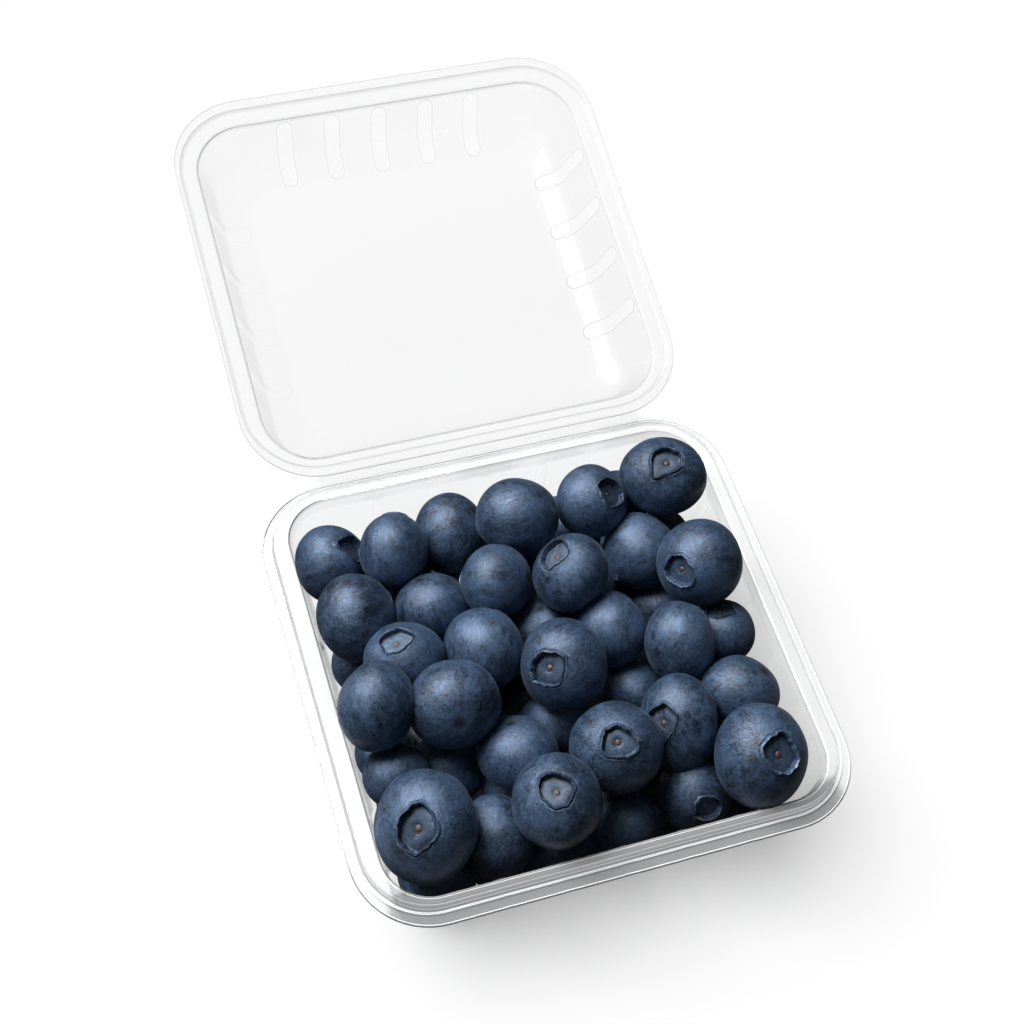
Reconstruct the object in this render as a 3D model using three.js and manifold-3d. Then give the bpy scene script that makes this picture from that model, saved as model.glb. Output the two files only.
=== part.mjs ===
// A punnet of blueberries: a clear tray heaped with berries, and the clear lid that is
// moulded in one sheet with it and stands open behind it on a living hinge.
//
// Millimetres, +Z up, +X along the hinge to the right, +Y back towards the hinge.
// The origin is the centre of the tray's flat floor, on the surface that it stands on.
import * as THREE from 'three';
import { mergeVertices } from 'three/addons/utils/BufferGeometryUtils.js';
import Module from 'manifold-3d';

const wasm = await Module();
wasm.setup();

// ---- driving dimensions ------------------------------------------------------------
const SHEET = 0.6;                 // thickness of the moulded sheet
const TRAY_WIDTH = 106;
const TRAY_DEPTH = 101.5;
const TRAY_CORNER = 16;            // corner radius of the tray's outer lip
const LIP_Z = 36;                  // the tray's flat outer lip, above the floor
const BEAD = 2.3;                  // the raised bead inside the lip stands this much higher
const BEAD_OUTER = { side: 2.3, front: 3.1, back: 1.5 };   // inset of the bead's outer edge
const BEAD_INNER = { side: 5.8, front: 4.9, back: 4.3 };   // inset of the mouth's edge
const TRAY_WALL_SLOPE = 4.6;       // how far the wall leans in between mouth and floor curve
const TRAY_FLOOR_CURVE = 5;        // radius where the wall turns into the floor

const LID_WIDTH = 101.5;
const LID_REACH = 97.3;            // from the hinge to the lid's far edge
const LID_NEAR = 0.6;              // from the hinge to the lid's near edge
const LID_CORNER = 17;
const LID_DEPTH = 14.5;            // from the lip down to the panel
const LID_TILT = 11;               // degrees above the horizontal at rest
const LID_STEP = { side: 1.1, front: 2.4, back: 2.2 };     // inset of the step in the flange
const LID_INNER = { side: 4.8, front: 6.3, back: 4.5 };    // inset of the dome's edge
const LID_WALL_SLOPE = 3.3;        // how far the dome's wall leans in
const LID_PANEL_CURVE = 4.8;       // how far it then curves in to the panel

const HINGE_Y = TRAY_DEPTH / 2 + 0.3;
const HINGE_WIDTH = 74;            // the strip that joins tray and lid
const REST_GAP = 0.3;              // air between pieces that touch
const CORNER_STEPS = 5;            // straight stretches in a quarter turn

const TRAY_RIBS = { width: 3, depth: 1, sidePitch: 13.7, endPitch: 12.6, sideCount: 5, endCount: 5 };
const LID_RIBS = { width: 3.6, depth: 0.9, sidePitch: 13.8, endPitch: 11.5, sideCount: 4, endCount: 5 };

const clear = { color: 0xf4f6f7, roughness: 0.08, metalness: 0, transparent: true, opacity: 0.3 };
const TRAY_PLASTIC = new THREE.MeshStandardMaterial(clear);
const LID_PLASTIC = new THREE.MeshStandardMaterial(clear);
const BERRY_SKIN = new THREE.MeshStandardMaterial({ color: 0x33425f, roughness: 0.55, metalness: 0 });

// ---- solids ------------------------------------------------------------------------
// A three.js geometry as a closed solid, and back again.
function solid(geometry) {
  const bare = geometry.clone();
  bare.deleteAttribute('normal');
  bare.deleteAttribute('uv');
  const merged = mergeVertices(bare, 1e-4);
  const triangles = [];
  for (let i = 0; i < merged.index.count; i += 3) {
    const [a, b, c] = merged.index.array.slice(i, i + 3);
    if (a !== b && b !== c && c !== a) {
      triangles.push(a, b, c);
    }
  }
  return new wasm.Manifold(new wasm.Mesh({
    numProp: 3,
    vertProperties: Float32Array.from(merged.attributes.position.array),
    triVerts: Uint32Array.from(triangles),
  }));
}

function geometryOf(manifold) {
  const mesh = manifold.getMesh();
  const geometry = new THREE.BufferGeometry();
  geometry.setAttribute('position', new THREE.BufferAttribute(Float32Array.from(mesh.vertProperties), 3));
  geometry.setIndex(new THREE.BufferAttribute(Uint32Array.from(mesh.triVerts), 1));
  geometry.computeVertexNormals();
  return geometry;
}

function union(pieces) {
  return pieces.reduce((whole, piece) => whole.add(piece));
}

// ---- moulded sheet -----------------------------------------------------------------
// A tray or lid is a stack of rounded rectangles. A row of its profile is
// { side, front, back, z }: the inset from the outline on each side, and the height.
// A row that is cut has its corners cut off straight.
function outlineRing(outline, row) {
  const right = outline.halfWidth - row.side;
  const near = outline.near + row.front;
  const far = outline.far - row.back;
  const radius = Math.max(outline.corner - row.side, outline.tightest);
  const corners = [
    [right - radius, far - radius, 0],
    [-right + radius, far - radius, 1],
    [-right + radius, near + radius, 2],
    [right - radius, near + radius, 3],
  ];
  const ring = [];
  for (const [cx, cy, quarter] of corners) {
    for (let i = 0; i <= CORNER_STEPS; i++) {
      const turned = row.cut ? Math.round(i / CORNER_STEPS) : i / CORNER_STEPS;
      const angle = (quarter + turned) * Math.PI / 2;
      ring.push([cx + radius * Math.cos(angle), cy + radius * Math.sin(angle), row.z]);
    }
  }
  return ring;
}

// The same profile on the sheet's other face: every row moves out and down by the thickness.
function underFace(rows) {
  return rows.map((row, i) => {
    const before = rows[i - 1] ?? { side: row.side + 1, z: row.z };
    const after = rows[i + 1] ?? row;
    const turns = [[before, row], [row, after]]
      .map(([a, b]) => new THREE.Vector2(a.z - b.z, b.side - a.side))
      .filter((n) => n.length() > 0)
      .map((n) => n.normalize());
    const normal = turns.reduce((sum, n) => sum.add(n), new THREE.Vector2()).normalize();
    const stretch = SHEET / Math.max(normal.dot(turns[turns.length - 1]), 0.6);
    const out = normal.x * stretch;
    return { ...inset(row, out, row.z + normal.y * stretch), cut: row.cut };
  });
}

// Joins the rings of both faces into one closed skin. The first row is the floor's edge,
// and the last is the lip's.
function mouldedSheet(outline, rows) {
  const rings = [...underFace(rows).reverse(), ...rows].map((row) => outlineRing(outline, row));
  // the lip's edge is square: its lower ring lies straight under its upper one
  const lip = rings[rings.length - 1];
  rings[0] = lip.map(([x, y, z]) => [x, y, z - SHEET]);
  const order = [...rings.slice(0, rows.length).reverse(), ...rings.slice(rows.length).reverse()];
  const count = lip.length;
  const points = order.flat(2);
  const faces = [];
  const join = (a, b) => {
    for (let i = 0; i < count; i++) {
      const j = (i + 1) % count;
      faces.push(a + i, a + j, b + j, a + i, b + j, b + i);
    }
  };
  for (let k = 0; k < order.length - 1; k++) {
    join(k * count, (k + 1) * count);
  }
  // a floor closes each face
  for (const [start, flip] of [[0, true], [(order.length - 1) * count, false]]) {
    const middle = points.length / 3;
    points.push(0, (outline.near + outline.far) / 2, points[start * 3 + 2]);
    for (let i = 0; i < count; i++) {
      const j = (i + 1) % count;
      faces.push(middle, start + (flip ? j : i), start + (flip ? i : j));
    }
  }
  const geometry = new THREE.BufferGeometry();
  geometry.setAttribute('position', new THREE.BufferAttribute(Float32Array.from(points), 3));
  geometry.setIndex(faces);
  return geometry;
}

const inset = (edge, by, z) => ({ side: edge.side + by, front: edge.front + by, back: edge.back + by, z });

// A rib is a ridge with sloping ends, sunk a little into the wall that it stiffens.
// X is its width, -Y its height above the wall, Z its length.
function rib(ribs, length) {
  const sunk = 0.45;
  const geometry = new THREE.BoxGeometry(ribs.width, ribs.depth + sunk, length);
  const place = geometry.attributes.position;
  for (let i = 0; i < place.count; i++) {
    if (place.getY(i) < 0) {
      place.setX(i, place.getX(i) * 0.45);
      place.setZ(i, place.getZ(i) - Math.sign(place.getZ(i)) * ribs.depth * 1.6);
    }
    place.setY(i, place.getY(i) - (ribs.depth - sunk) / 2);
  }
  return geometry;
}

// Ribs on the inside of all four walls. mid is the profile row halfway down the wall.
function ribsOn(outline, ribs, mid, lean, length) {
  const made = [];
  const centre = (outline.near + outline.far) / 2;
  const walls = [
    { turn: 0, x: 0, y: outline.far - mid.back, count: ribs.endCount, pitch: ribs.endPitch },
    { turn: 180, x: 0, y: outline.near + mid.front, count: ribs.endCount, pitch: ribs.endPitch },
    { turn: -90, x: outline.halfWidth - mid.side, y: centre, count: ribs.sideCount, pitch: ribs.sidePitch },
    { turn: 90, x: mid.side - outline.halfWidth, y: centre, count: ribs.sideCount, pitch: ribs.sidePitch },
  ];
  for (const wall of walls) {
    const turn = new THREE.Matrix4().makeRotationZ(THREE.MathUtils.degToRad(wall.turn));
    const tilt = new THREE.Matrix4().makeRotationX(-lean);
    for (let k = 0; k < wall.count; k++) {
      const along = (k - (wall.count - 1) / 2) * wall.pitch;
      const geometry = rib(ribs, length);
      geometry.applyMatrix4(tilt);
      geometry.translate(along, 0, 0);
      geometry.applyMatrix4(turn);
      geometry.translate(wall.x, wall.y, mid.z);
      made.push(solid(geometry));
    }
  }
  return made;
}

// Half of the living hinge: a flat leaf from the flange to the hinge line.
function hingeLeaf(from, to, z) {
  const leaf = new THREE.BoxGeometry(HINGE_WIDTH, Math.abs(to - from), SHEET - 0.05);
  leaf.translate(0, (from + to) / 2, z - SHEET / 2 - 0.025);
  return solid(leaf);
}

// ---- the tray ----------------------------------------------------------------------
const trayOutline = {
  halfWidth: TRAY_WIDTH / 2, near: -TRAY_DEPTH / 2, far: TRAY_DEPTH / 2, corner: TRAY_CORNER, tightest: 6,
};
const TRAY_FLOOR = SHEET;          // the floor's upper face

function trayRows() {
  const wallFoot = TRAY_FLOOR + TRAY_FLOOR_CURVE;
  const curve = TRAY_FLOOR_CURVE;
  const foot = 0.7 + TRAY_WALL_SLOPE;
  return [
    { ...inset(BEAD_INNER, foot + curve, TRAY_FLOOR), cut: true },
    inset(BEAD_INNER, foot + curve * 0.4, TRAY_FLOOR + curve * 0.2),
    inset(BEAD_INNER, foot, wallFoot),
    inset(BEAD_INNER, 0.7, LIP_Z + BEAD - 1.4),
    inset(BEAD_INNER, 0, LIP_Z + BEAD),
    inset(BEAD_OUTER, 0.4, LIP_Z + BEAD),
    inset(BEAD_OUTER, -0.3, LIP_Z),
    { side: 0, front: 0, back: 0, z: LIP_Z },
  ];
}

function buildTray() {
  const lean = Math.atan2(TRAY_WALL_SLOPE, LIP_Z + BEAD - 1.4 - TRAY_FLOOR - TRAY_FLOOR_CURVE);
  const mid = inset(BEAD_INNER, 0.7 + TRAY_WALL_SLOPE / 2, (LIP_Z + BEAD - 1.4 + TRAY_FLOOR + TRAY_FLOOR_CURVE) / 2);
  const leafStart = TRAY_DEPTH / 2 - BEAD_OUTER.back - 1.2;
  const whole = union([
    solid(mouldedSheet(trayOutline, trayRows())),
    ...ribsOn(trayOutline, TRAY_RIBS, mid, lean, 27),
    hingeLeaf(leafStart, HINGE_Y - REST_GAP / 2, LIP_Z + BEAD),
  ]);
  const mesh = new THREE.Mesh(geometryOf(whole), TRAY_PLASTIC);
  mesh.name = 'tray';
  return mesh;
}

// ---- the lid -----------------------------------------------------------------------
// Modelled flat with its inside up, the hinge line at y = 0 and the lip at z = 0, then
// tilted up about the hinge.
const lidOutline = {
  halfWidth: LID_WIDTH / 2, near: LID_NEAR, far: LID_REACH, corner: LID_CORNER, tightest: 8,
};

// front and back of the insets swap: the lid's far edge is the one that closes at the front
const swapped = (edge) => ({ side: edge.side, front: edge.back, back: edge.front });

function lidRows() {
  const step = swapped(LID_STEP);
  const edge = swapped(LID_INNER);
  const foot = 0.3 + LID_WALL_SLOPE;
  return [
    inset(edge, foot + LID_PANEL_CURVE, -LID_DEPTH),
    inset(edge, foot + LID_PANEL_CURVE * 0.4, 1.3 - LID_DEPTH),
    inset(edge, foot, 4.5 - LID_DEPTH),
    inset(edge, 0.3, -1.5),
    inset(edge, -0.3, -0.7),
    inset(step, 0.4, -0.6),
    inset(step, -0.2, 0),
    { side: 0, front: 0, back: 0, z: 0 },
  ];
}

function buildLid() {
  const lean = Math.atan2(LID_WALL_SLOPE + LID_PANEL_CURVE * 0.3, LID_DEPTH - 3.4);
  const mid = inset(swapped(LID_INNER), 0.4 + LID_WALL_SLOPE * 0.62, -LID_DEPTH / 2);
  const whole = union([
    solid(mouldedSheet(lidOutline, lidRows())),
    ...ribsOn(lidOutline, LID_RIBS, mid, lean, LID_DEPTH - 3),
    hingeLeaf(REST_GAP / 2, LID_NEAR + 1.4, 0),
  ]);
  const mesh = new THREE.Mesh(geometryOf(whole), LID_PLASTIC);
  mesh.name = 'lid';
  mesh.position.set(0, HINGE_Y, LIP_Z + BEAD + REST_GAP);
  mesh.rotation.x = THREE.MathUtils.degToRad(LID_TILT);
  return mesh;
}

// ---- the berries -------------------------------------------------------------------
// The berries that lie on top: where each one is, x, y and height over the tray's lip,
// its diameter, and the way that its crown looks, where the crown shows.
const UP = [0, 0, 1];
const TOP_BERRIES = [
  // the back row, from the left
  { at: [-37, 36, -8], across: 15.5, crown: [1, -0.1, 0.5] },
  { at: [-26.5, 31, 0.5], across: 15 },
  { at: [-11.5, 35, -5], across: 16 },
  { at: [2, 31, 3.5], across: 17.5 },
  { at: [19.5, 32, 1.5], across: 15.5, crown: [1, 0.2, 0.5] },
  { at: [36.5, 33, 4], across: 17.5, crown: [0, 0.1, 1] },
  // the second row
  { at: [-37, 19.5, -3.5], across: 17 },
  { at: [-21, 17.5, -3], across: 15.5 },
  { at: [-7, 17.5, 2.5], across: 15.5 },
  { at: [8, 13.5, 6.5], across: 15.5, crown: [-0.5, 0.8, 0.7] },
  { at: [28, 20.5, -4.5], across: 15.5 },
  { at: [36, 9.5, 5.5], across: 18, crown: [-0.6, -0.5, 0.7] },
  // the third row
  { at: [-30.5, 5.5, 1.5], across: 15.5, crown: [0, 0.6, 0.8] },
  { at: [-14, 3.5, 0.5], across: 16.5 },
  { at: [0.5, -5.5, 4], across: 17.5, crown: [-0.6, -0.5, 0.7] },
  { at: [14, 1.5, -0.5], across: 15 },
  { at: [26, -6.5, 3], across: 14.5 },
  { at: [38, -3.5, -3], across: 14, crown: [-0.1, 0.9, 0.6] },
  // the fourth row
  { at: [-40.5, -6, 7], across: 15.5 },
  { at: [-24.5, -9, 5.5], across: 18 },
  { at: [-13.5, -20, -1], across: 15.5 },
  { at: [4.5, -26.5, 5], across: 18, crown: [-0.2, -0.5, 1] },
  { at: [20, -23, 0.5], across: 16, crown: [-1, -0.3, 0.6] },
  { at: [35, -19.5, 1], across: 15.5 },
  // the front row
  { at: [-36.5, -31.5, 2.5], across: 19.5, crown: [-0.4, -0.7, 1] },
  { at: [-22, -34, -7], across: 15.5 },
  { at: [-11, -34.5, 6], across: 17.5, crown: [-0.2, -0.4, 1] },
  { at: [5, -36, -11], across: 14 },
  { at: [21, -35, -9], across: 15.5, crown: [0.3, -1, 0.1] },
  { at: [32.5, -35.5, 4.5], across: 18.5, crown: [0.4, -0.5, 0.8] },
  // deeper berries, in the gaps
  { at: [29, 36, -8.5], across: 13.5 },
  { at: [36.5, 26.5, -12.5], across: 13 },
  { at: [24, 22, -18], across: 13 },
  { at: [2, 8.5, -6.5], across: 14 },
  { at: [30.5, 10.5, -15], across: 14 },
  { at: [16.5, -9, -10], across: 14 },
  { at: [-1.5, -11, -10.5], across: 14.5 },
  { at: [-35.5, 14.5, -18], across: 13 },
  { at: [-38, -16.5, -5.5], across: 13.5 },
  { at: [-37.5, -7, -15], across: 13 },
  { at: [-25.5, -16.5, -11], across: 13.5 },
  { at: [-9.5, -35.5, -13.5], across: 13 },
  { at: [-35, -36, -12.5], across: 13 },
];
const FILL_LAYERS = [8.6, 21.5];   // heights of the layers under them, over the floor
const FILL_PITCH = 16.6;
const FILL_SIDE = 5;               // berries along each side of a layer
const SETTLE_ROUNDS = 200;
const WALL_CLEAR = 1.6;            // from the wall to a berry: a rib's depth and some air

// A repeatable number from 0 to 1 for each k.
function wobble(k) {
  const s = Math.sin(k * 12.9898 + 4.1) * 43758.5453;
  return s - Math.floor(s);
}

// How far a point is inside the mouth's edge, seen from above, and which way is outwards.
function insideMouth(x, y) {
  const near = -TRAY_DEPTH / 2 + BEAD_INNER.front;
  const far = TRAY_DEPTH / 2 - BEAD_INNER.back;
  const radius = TRAY_CORNER - BEAD_INNER.side;
  const middle = (near + far) / 2;
  const beyondX = Math.abs(x) - (TRAY_WIDTH / 2 - BEAD_INNER.side - radius);
  const beyondY = Math.abs(y - middle) - ((far - near) / 2 - radius);
  const out = new THREE.Vector2(Math.max(beyondX, 0), Math.max(beyondY, 0));
  const depth = radius - out.length() - Math.min(Math.max(beyondX, beyondY), 0);
  if (out.length() === 0) out.set(beyondX > beyondY ? 1 : 0, beyondX > beyondY ? 0 : 1);
  out.normalize();
  return { depth, outX: out.x * Math.sign(x), outY: out.y * Math.sign(y - middle) };
}

// Moves a berry in until it clears the wall, its ribs and the floor.
function keepInside(berry) {
  const foot = new THREE.Vector2(TRAY_WALL_SLOPE + 0.7, TRAY_FLOOR + TRAY_FLOOR_CURVE);
  const mouth = new THREE.Vector2(0, LIP_Z + BEAD);
  const { depth, outX, outY } = insideMouth(berry.x, berry.y);
  const wall = mouth.clone().sub(foot);
  const along = (depth - foot.x) * wall.x + (berry.z - foot.y) * wall.y;
  const nearest = foot.clone().addScaledVector(wall, Math.min(Math.max(along / wall.lengthSq(), 0), 1));
  const away = new THREE.Vector2(depth, berry.z).sub(nearest);
  const cross = berry.r + WALL_CLEAR - away.length();
  if (cross > 0) {
    away.normalize();
    berry.x -= outX * away.x * cross;
    berry.y -= outY * away.x * cross;
    berry.z += away.y * cross;
  }
  berry.z = Math.max(berry.z, TRAY_FLOOR + REST_GAP + berry.r);
}

// Every berry of the heap: those on top stay where they are, and the layers under them
// are pushed apart until they touch without crossing.
function heap() {
  const berries = TOP_BERRIES.map(({ at, across, crown }) => ({
    x: at[0], y: at[1], z: LIP_Z + at[2], r: across / 2, crown: crown ?? null, fixed: true,
  }));
  let k = 0;
  FILL_LAYERS.forEach((height, layer) => {
    for (let i = 0; i < FILL_SIDE; i++) {
      for (let j = 0; j < FILL_SIDE; j++) {
        k += 1;
        const shift = layer % 2 ? 3 : -3;
        const berry = {
          x: (i - (FILL_SIDE - 1) / 2) * FILL_PITCH + shift * (j % 2 ? 1 : -1) + 4 * (wobble(k) - 0.5),
          y: (j - (FILL_SIDE - 1) / 2) * FILL_PITCH + 4 * (wobble(k + 100) - 0.5),
          z: TRAY_FLOOR + height + 2 * (wobble(k + 200) - 0.5),
          r: 7.4 + 1.4 * wobble(k + 300), crown: null, fixed: false,
        };
        const crowded = berries.some((b) => b.fixed
          && Math.hypot(b.x - berry.x, b.y - berry.y, b.z - berry.z) < 0.62 * (b.r + berry.r));
        if (!crowded) berries.push(berry);
      }
    }
  });
  for (let round = 0; round < SETTLE_ROUNDS; round++) {
    for (const a of berries) {
      if (a.fixed) continue;
      for (const b of berries) {
        if (a === b) continue;
        const gap = Math.hypot(a.x - b.x, a.y - b.y, a.z - b.z);
        const cross = a.r + b.r - gap;
        if (cross <= 0) continue;
        const push = cross / gap * (b.fixed ? 0.5 : 0.3);
        a.x += (a.x - b.x) * push;
        a.y += (a.y - b.y) * push;
        a.z += (a.z - b.z) * push;
      }
      a.z -= 0.02;
      keepInside(a);
    }
  }
  return berries;
}

// A berry is a ball a little flattened along its crown's axis. A crown that shows is a
// five-sided hollow.
function berrySolid(berry, k) {
  const fineness = berry.fixed ? 3 : 2;
  const body = new THREE.OctahedronGeometry(berry.r, fineness);
  body.rotateZ(wobble(k + 400) * Math.PI);
  body.scale(1.04, 1.04, 0.98);
  const axis = berry.crown
    ? new THREE.Vector3(...berry.crown).normalize()
    : new THREE.Vector3(wobble(k + 500) - 0.5, wobble(k + 600) - 0.5, 1.2).normalize();
  const turn = new THREE.Quaternion().setFromUnitVectors(new THREE.Vector3(...UP), axis);
  body.applyQuaternion(turn);
  let made = solid(body);
  if (berry.crown) {
    const hollow = new THREE.CylinderGeometry(berry.r * 0.3, berry.r * 0.24, 2.4, 5);
    hollow.rotateX(Math.PI / 2);
    hollow.translate(0, 0, berry.r * 0.95);
    hollow.applyQuaternion(turn);
    made = made.subtract(solid(hollow));
  }
  return made.translate([berry.x, berry.y, berry.z]);
}

function buildBerries() {
  const core = new THREE.BoxGeometry(68, 66, LIP_Z - 20);
  core.translate(0, -0.5, (LIP_Z - 20) / 2 + 9);
  const fused = union([solid(core), ...heap().map(berrySolid)]);
  const parts = fused.decompose().sort((a, b) => b.volume() - a.volume());
  const mesh = new THREE.Mesh(geometryOf(parts[0]), BERRY_SKIN);
  mesh.name = 'berries';
  return mesh;
}

const punnet = new THREE.Group();
punnet.add(buildTray(), buildLid(), buildBerries());

export default punnet;
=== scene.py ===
import math

import bpy
import numpy as np
from mathutils import Matrix, Vector


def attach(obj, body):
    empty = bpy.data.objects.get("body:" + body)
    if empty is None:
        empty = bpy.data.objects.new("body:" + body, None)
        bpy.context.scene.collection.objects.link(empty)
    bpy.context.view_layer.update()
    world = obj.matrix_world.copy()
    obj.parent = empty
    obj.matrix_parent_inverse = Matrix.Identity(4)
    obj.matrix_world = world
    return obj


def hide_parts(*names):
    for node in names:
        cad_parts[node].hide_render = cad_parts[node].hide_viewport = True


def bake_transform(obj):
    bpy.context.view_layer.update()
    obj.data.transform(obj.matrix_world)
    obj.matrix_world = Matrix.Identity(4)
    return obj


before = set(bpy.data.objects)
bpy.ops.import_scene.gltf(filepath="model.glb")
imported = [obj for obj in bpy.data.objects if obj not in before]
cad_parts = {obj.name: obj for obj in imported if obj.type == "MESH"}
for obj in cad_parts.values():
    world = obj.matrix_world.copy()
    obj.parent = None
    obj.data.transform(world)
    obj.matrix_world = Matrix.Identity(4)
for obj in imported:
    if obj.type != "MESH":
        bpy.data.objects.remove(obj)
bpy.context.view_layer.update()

mm = 0.001

# ---- tray ----------------------------------------------------------------------------
# The tray is thermoformed from one clear PET sheet. It has a flat foot, walls that lean
# outwards with upright ribs pressed into them, and a raised bead round the mouth that
# stands inside a flat outer lip.
TRAY_WIDTH = 106
TRAY_DEPTH = 101.5
LIP_HEIGHT = 36
BEAD_HEIGHT = 2.3
SHEET_THICKNESS = 0.3 * mm
OFF_THE_WALLS = 1000.0
TRAY_BEAD_OUTSIDE = (2.3, 3.1, 1.5)
TRAY_BEAD_INSIDE = (5.8, 4.9, 4.3)
TRAY_CORNER = 16


def further_in(edge, by, height, bend=0.0, front_line=0.0, side_line=0.0, bright=0.0):
    """A row of a profile: its insets, height and bend radius, and the painted dark lines and painted
    highlight that show its bend.
    """
    side, front, back = edge
    return (side + by, front + by, back + by, height, bend, front_line, side_line, bright)


def bent_profile(rows, finest=1.6, steps=4):
    """Rounds the bends of a profile and divides its long stretches, for one smooth sheet."""
    corners = [np.array([*row[:4], 0, 0, 0], float) for row in rows]
    line = [corners[0]]
    for before, here, after, row in zip(corners, corners[1:], corners[2:], rows[1:]):
        back, on = before - here, after - here
        back_length = math.hypot(back[0], back[3])
        on_length = math.hypot(on[0], on[3])
        reach = min(row[4], 0.49 * back_length, 0.49 * on_length)
        start, end = here + back / back_length * reach, here + on / on_length * reach
        for k in range(steps + 1):
            t = k / steps
            point = (1 - t) ** 2 * start + 2 * t * (1 - t) * here + t * t * end
            point[4:] = np.array(row[5:8]) * math.sin(math.pi * t)
            line.append(point)
    line.append(corners[-1] + np.array([0, 0, 0, 0, *rows[-1][5:8]]))
    fine = [np.append(line[0], 0)]
    for a, b in zip(line, line[1:]):
        length = math.hypot(b[0] - a[0], b[3] - a[3])
        pieces = max(1, math.ceil(length / finest))
        run = fine[-1][7]
        for k in range(1, pieces + 1):
            fine.append(np.append(a + (b - a) * k / pieces, run + length * k / pieces))
    return fine


def run_at(profile, height):
    """How far along a profile it first reaches a height."""
    return next(row[7] for row in profile if row[3] >= height)


def facing(angle, bearing):
    """How far a wall faces a bearing in degrees: 1 when square to it, 0 when turned away."""
    return 0.5 + 0.5 * math.cos(angle - math.radians(bearing))


def sheet_ring(outline, row, arc_steps=14, side_steps=84):
    """One level of a rounded box: its points, and for each the wall that it is on."""
    side, front, back, height, front_line, side_line, bright, run = row
    right, near, far = outline["half_width"] - side, outline["near"] + front, outline["far"] - back
    radius = max(outline["corner"] - side, outline["tightest"])
    middle = (outline["near"] + outline["far"]) / 2
    corners = [(right - radius, far - radius), (radius - right, far - radius),
               (radius - right, near + radius), (right - radius, near + radius)]
    # far, left, near and right wall: the way in, and whether it is one of the two side walls
    near_wall = ((0, 0), 0) if outline["plain_near_wall"] else ((0, 1), 0)
    walls = [((0, -1), 0), ((1, 0), 1), near_wall, ((-1, 0), 1)]
    points, place = [], []
    for quarter, (cx, cy) in enumerate(corners):
        for k in range(arc_steps + 1):
            angle = (quarter + k / arc_steps) * math.pi / 2
            points.append((cx + radius * math.cos(angle), cy + radius * math.sin(angle), height))
            place.append((OFF_THE_WALLS, 0.0, 0.0, 0.0, front_line, side_line, bright,
                          facing(angle, 270), facing(angle, 180), run * mm))
        next_x, next_y = corners[(quarter + 1) % 4]
        turn = (quarter + 1) * math.pi / 2
        start = np.array((cx + radius * math.cos(turn), cy + radius * math.sin(turn)))
        end = np.array((next_x + radius * math.cos(turn), next_y + radius * math.sin(turn)))
        inward, on_side = walls[quarter]
        for k in range(1, side_steps):
            x, y = start + (end - start) * k / side_steps
            points.append((x, y, height))
            place.append((y - middle if on_side else x, float(on_side), *inward,
                          front_line, side_line, bright,
                          facing(turn, 270), facing(turn, 180), run * mm))
    return points, place


def mark(mesh, label, values, kind="FLOAT"):
    """Gives a mesh a named value for each of its points."""
    field = "vector" if kind == "FLOAT_VECTOR" else "value"
    mesh.attributes.new(label, kind, "POINT").data.foreach_set(field, values)


def sheet_mesh(name, outline, profile, place_in_frame):
    """Lofts the rings of a profile, from the middle of the floor to the lip, into one sheet."""
    points, places = [], []
    middle = (outline["near"] + outline["far"]) / 2
    inner, inner_place = sheet_ring(outline, profile[0])
    floor_rings = (0.04, 0.3, 0.6, 0.85)
    for share in floor_rings:
        points += [(x * share, middle + (y - middle) * share, z) for x, y, z in inner]
        places += inner_place
    for row in profile:
        ring, ring_place = sheet_ring(outline, row)
        points += ring
        places += ring_place
    count = len(inner)
    faces = [tuple(range(count))]
    for ring in range(len(floor_rings) + len(profile) - 1):
        for k in range(count):
            j = (k + 1) % count
            a, b = ring * count, (ring + 1) * count
            faces.append((a + k, b + k, b + j, a + j))
    mesh = bpy.data.meshes.new(name)
    mesh.from_pydata([tuple(c * mm for c in p) for p in points], [], faces)
    mark(mesh, "along_wall", [p[0] * mm for p in places])
    mark(mesh, "side_wall", [p[1] for p in places])
    mark(mesh, "way_in", [c for p in places for c in (p[2], p[3], 0.0)], "FLOAT_VECTOR")
    # the painted dark lines and highlights of the bends, which way each point faces, and how far along
    # the profile it lies
    looks = ("front_line", "side_line", "bright_bend", "to_front", "to_left", "run")
    for index, label in enumerate(looks, 4):
        mark(mesh, label, [p[index] for p in places])
    mark(mesh, "level", [p[2] * mm for p in points])
    piece = bpy.data.objects.new(name, mesh)
    bpy.context.scene.collection.objects.link(piece)
    piece["place"] = [c for row in place_in_frame for c in row]
    return piece


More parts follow.
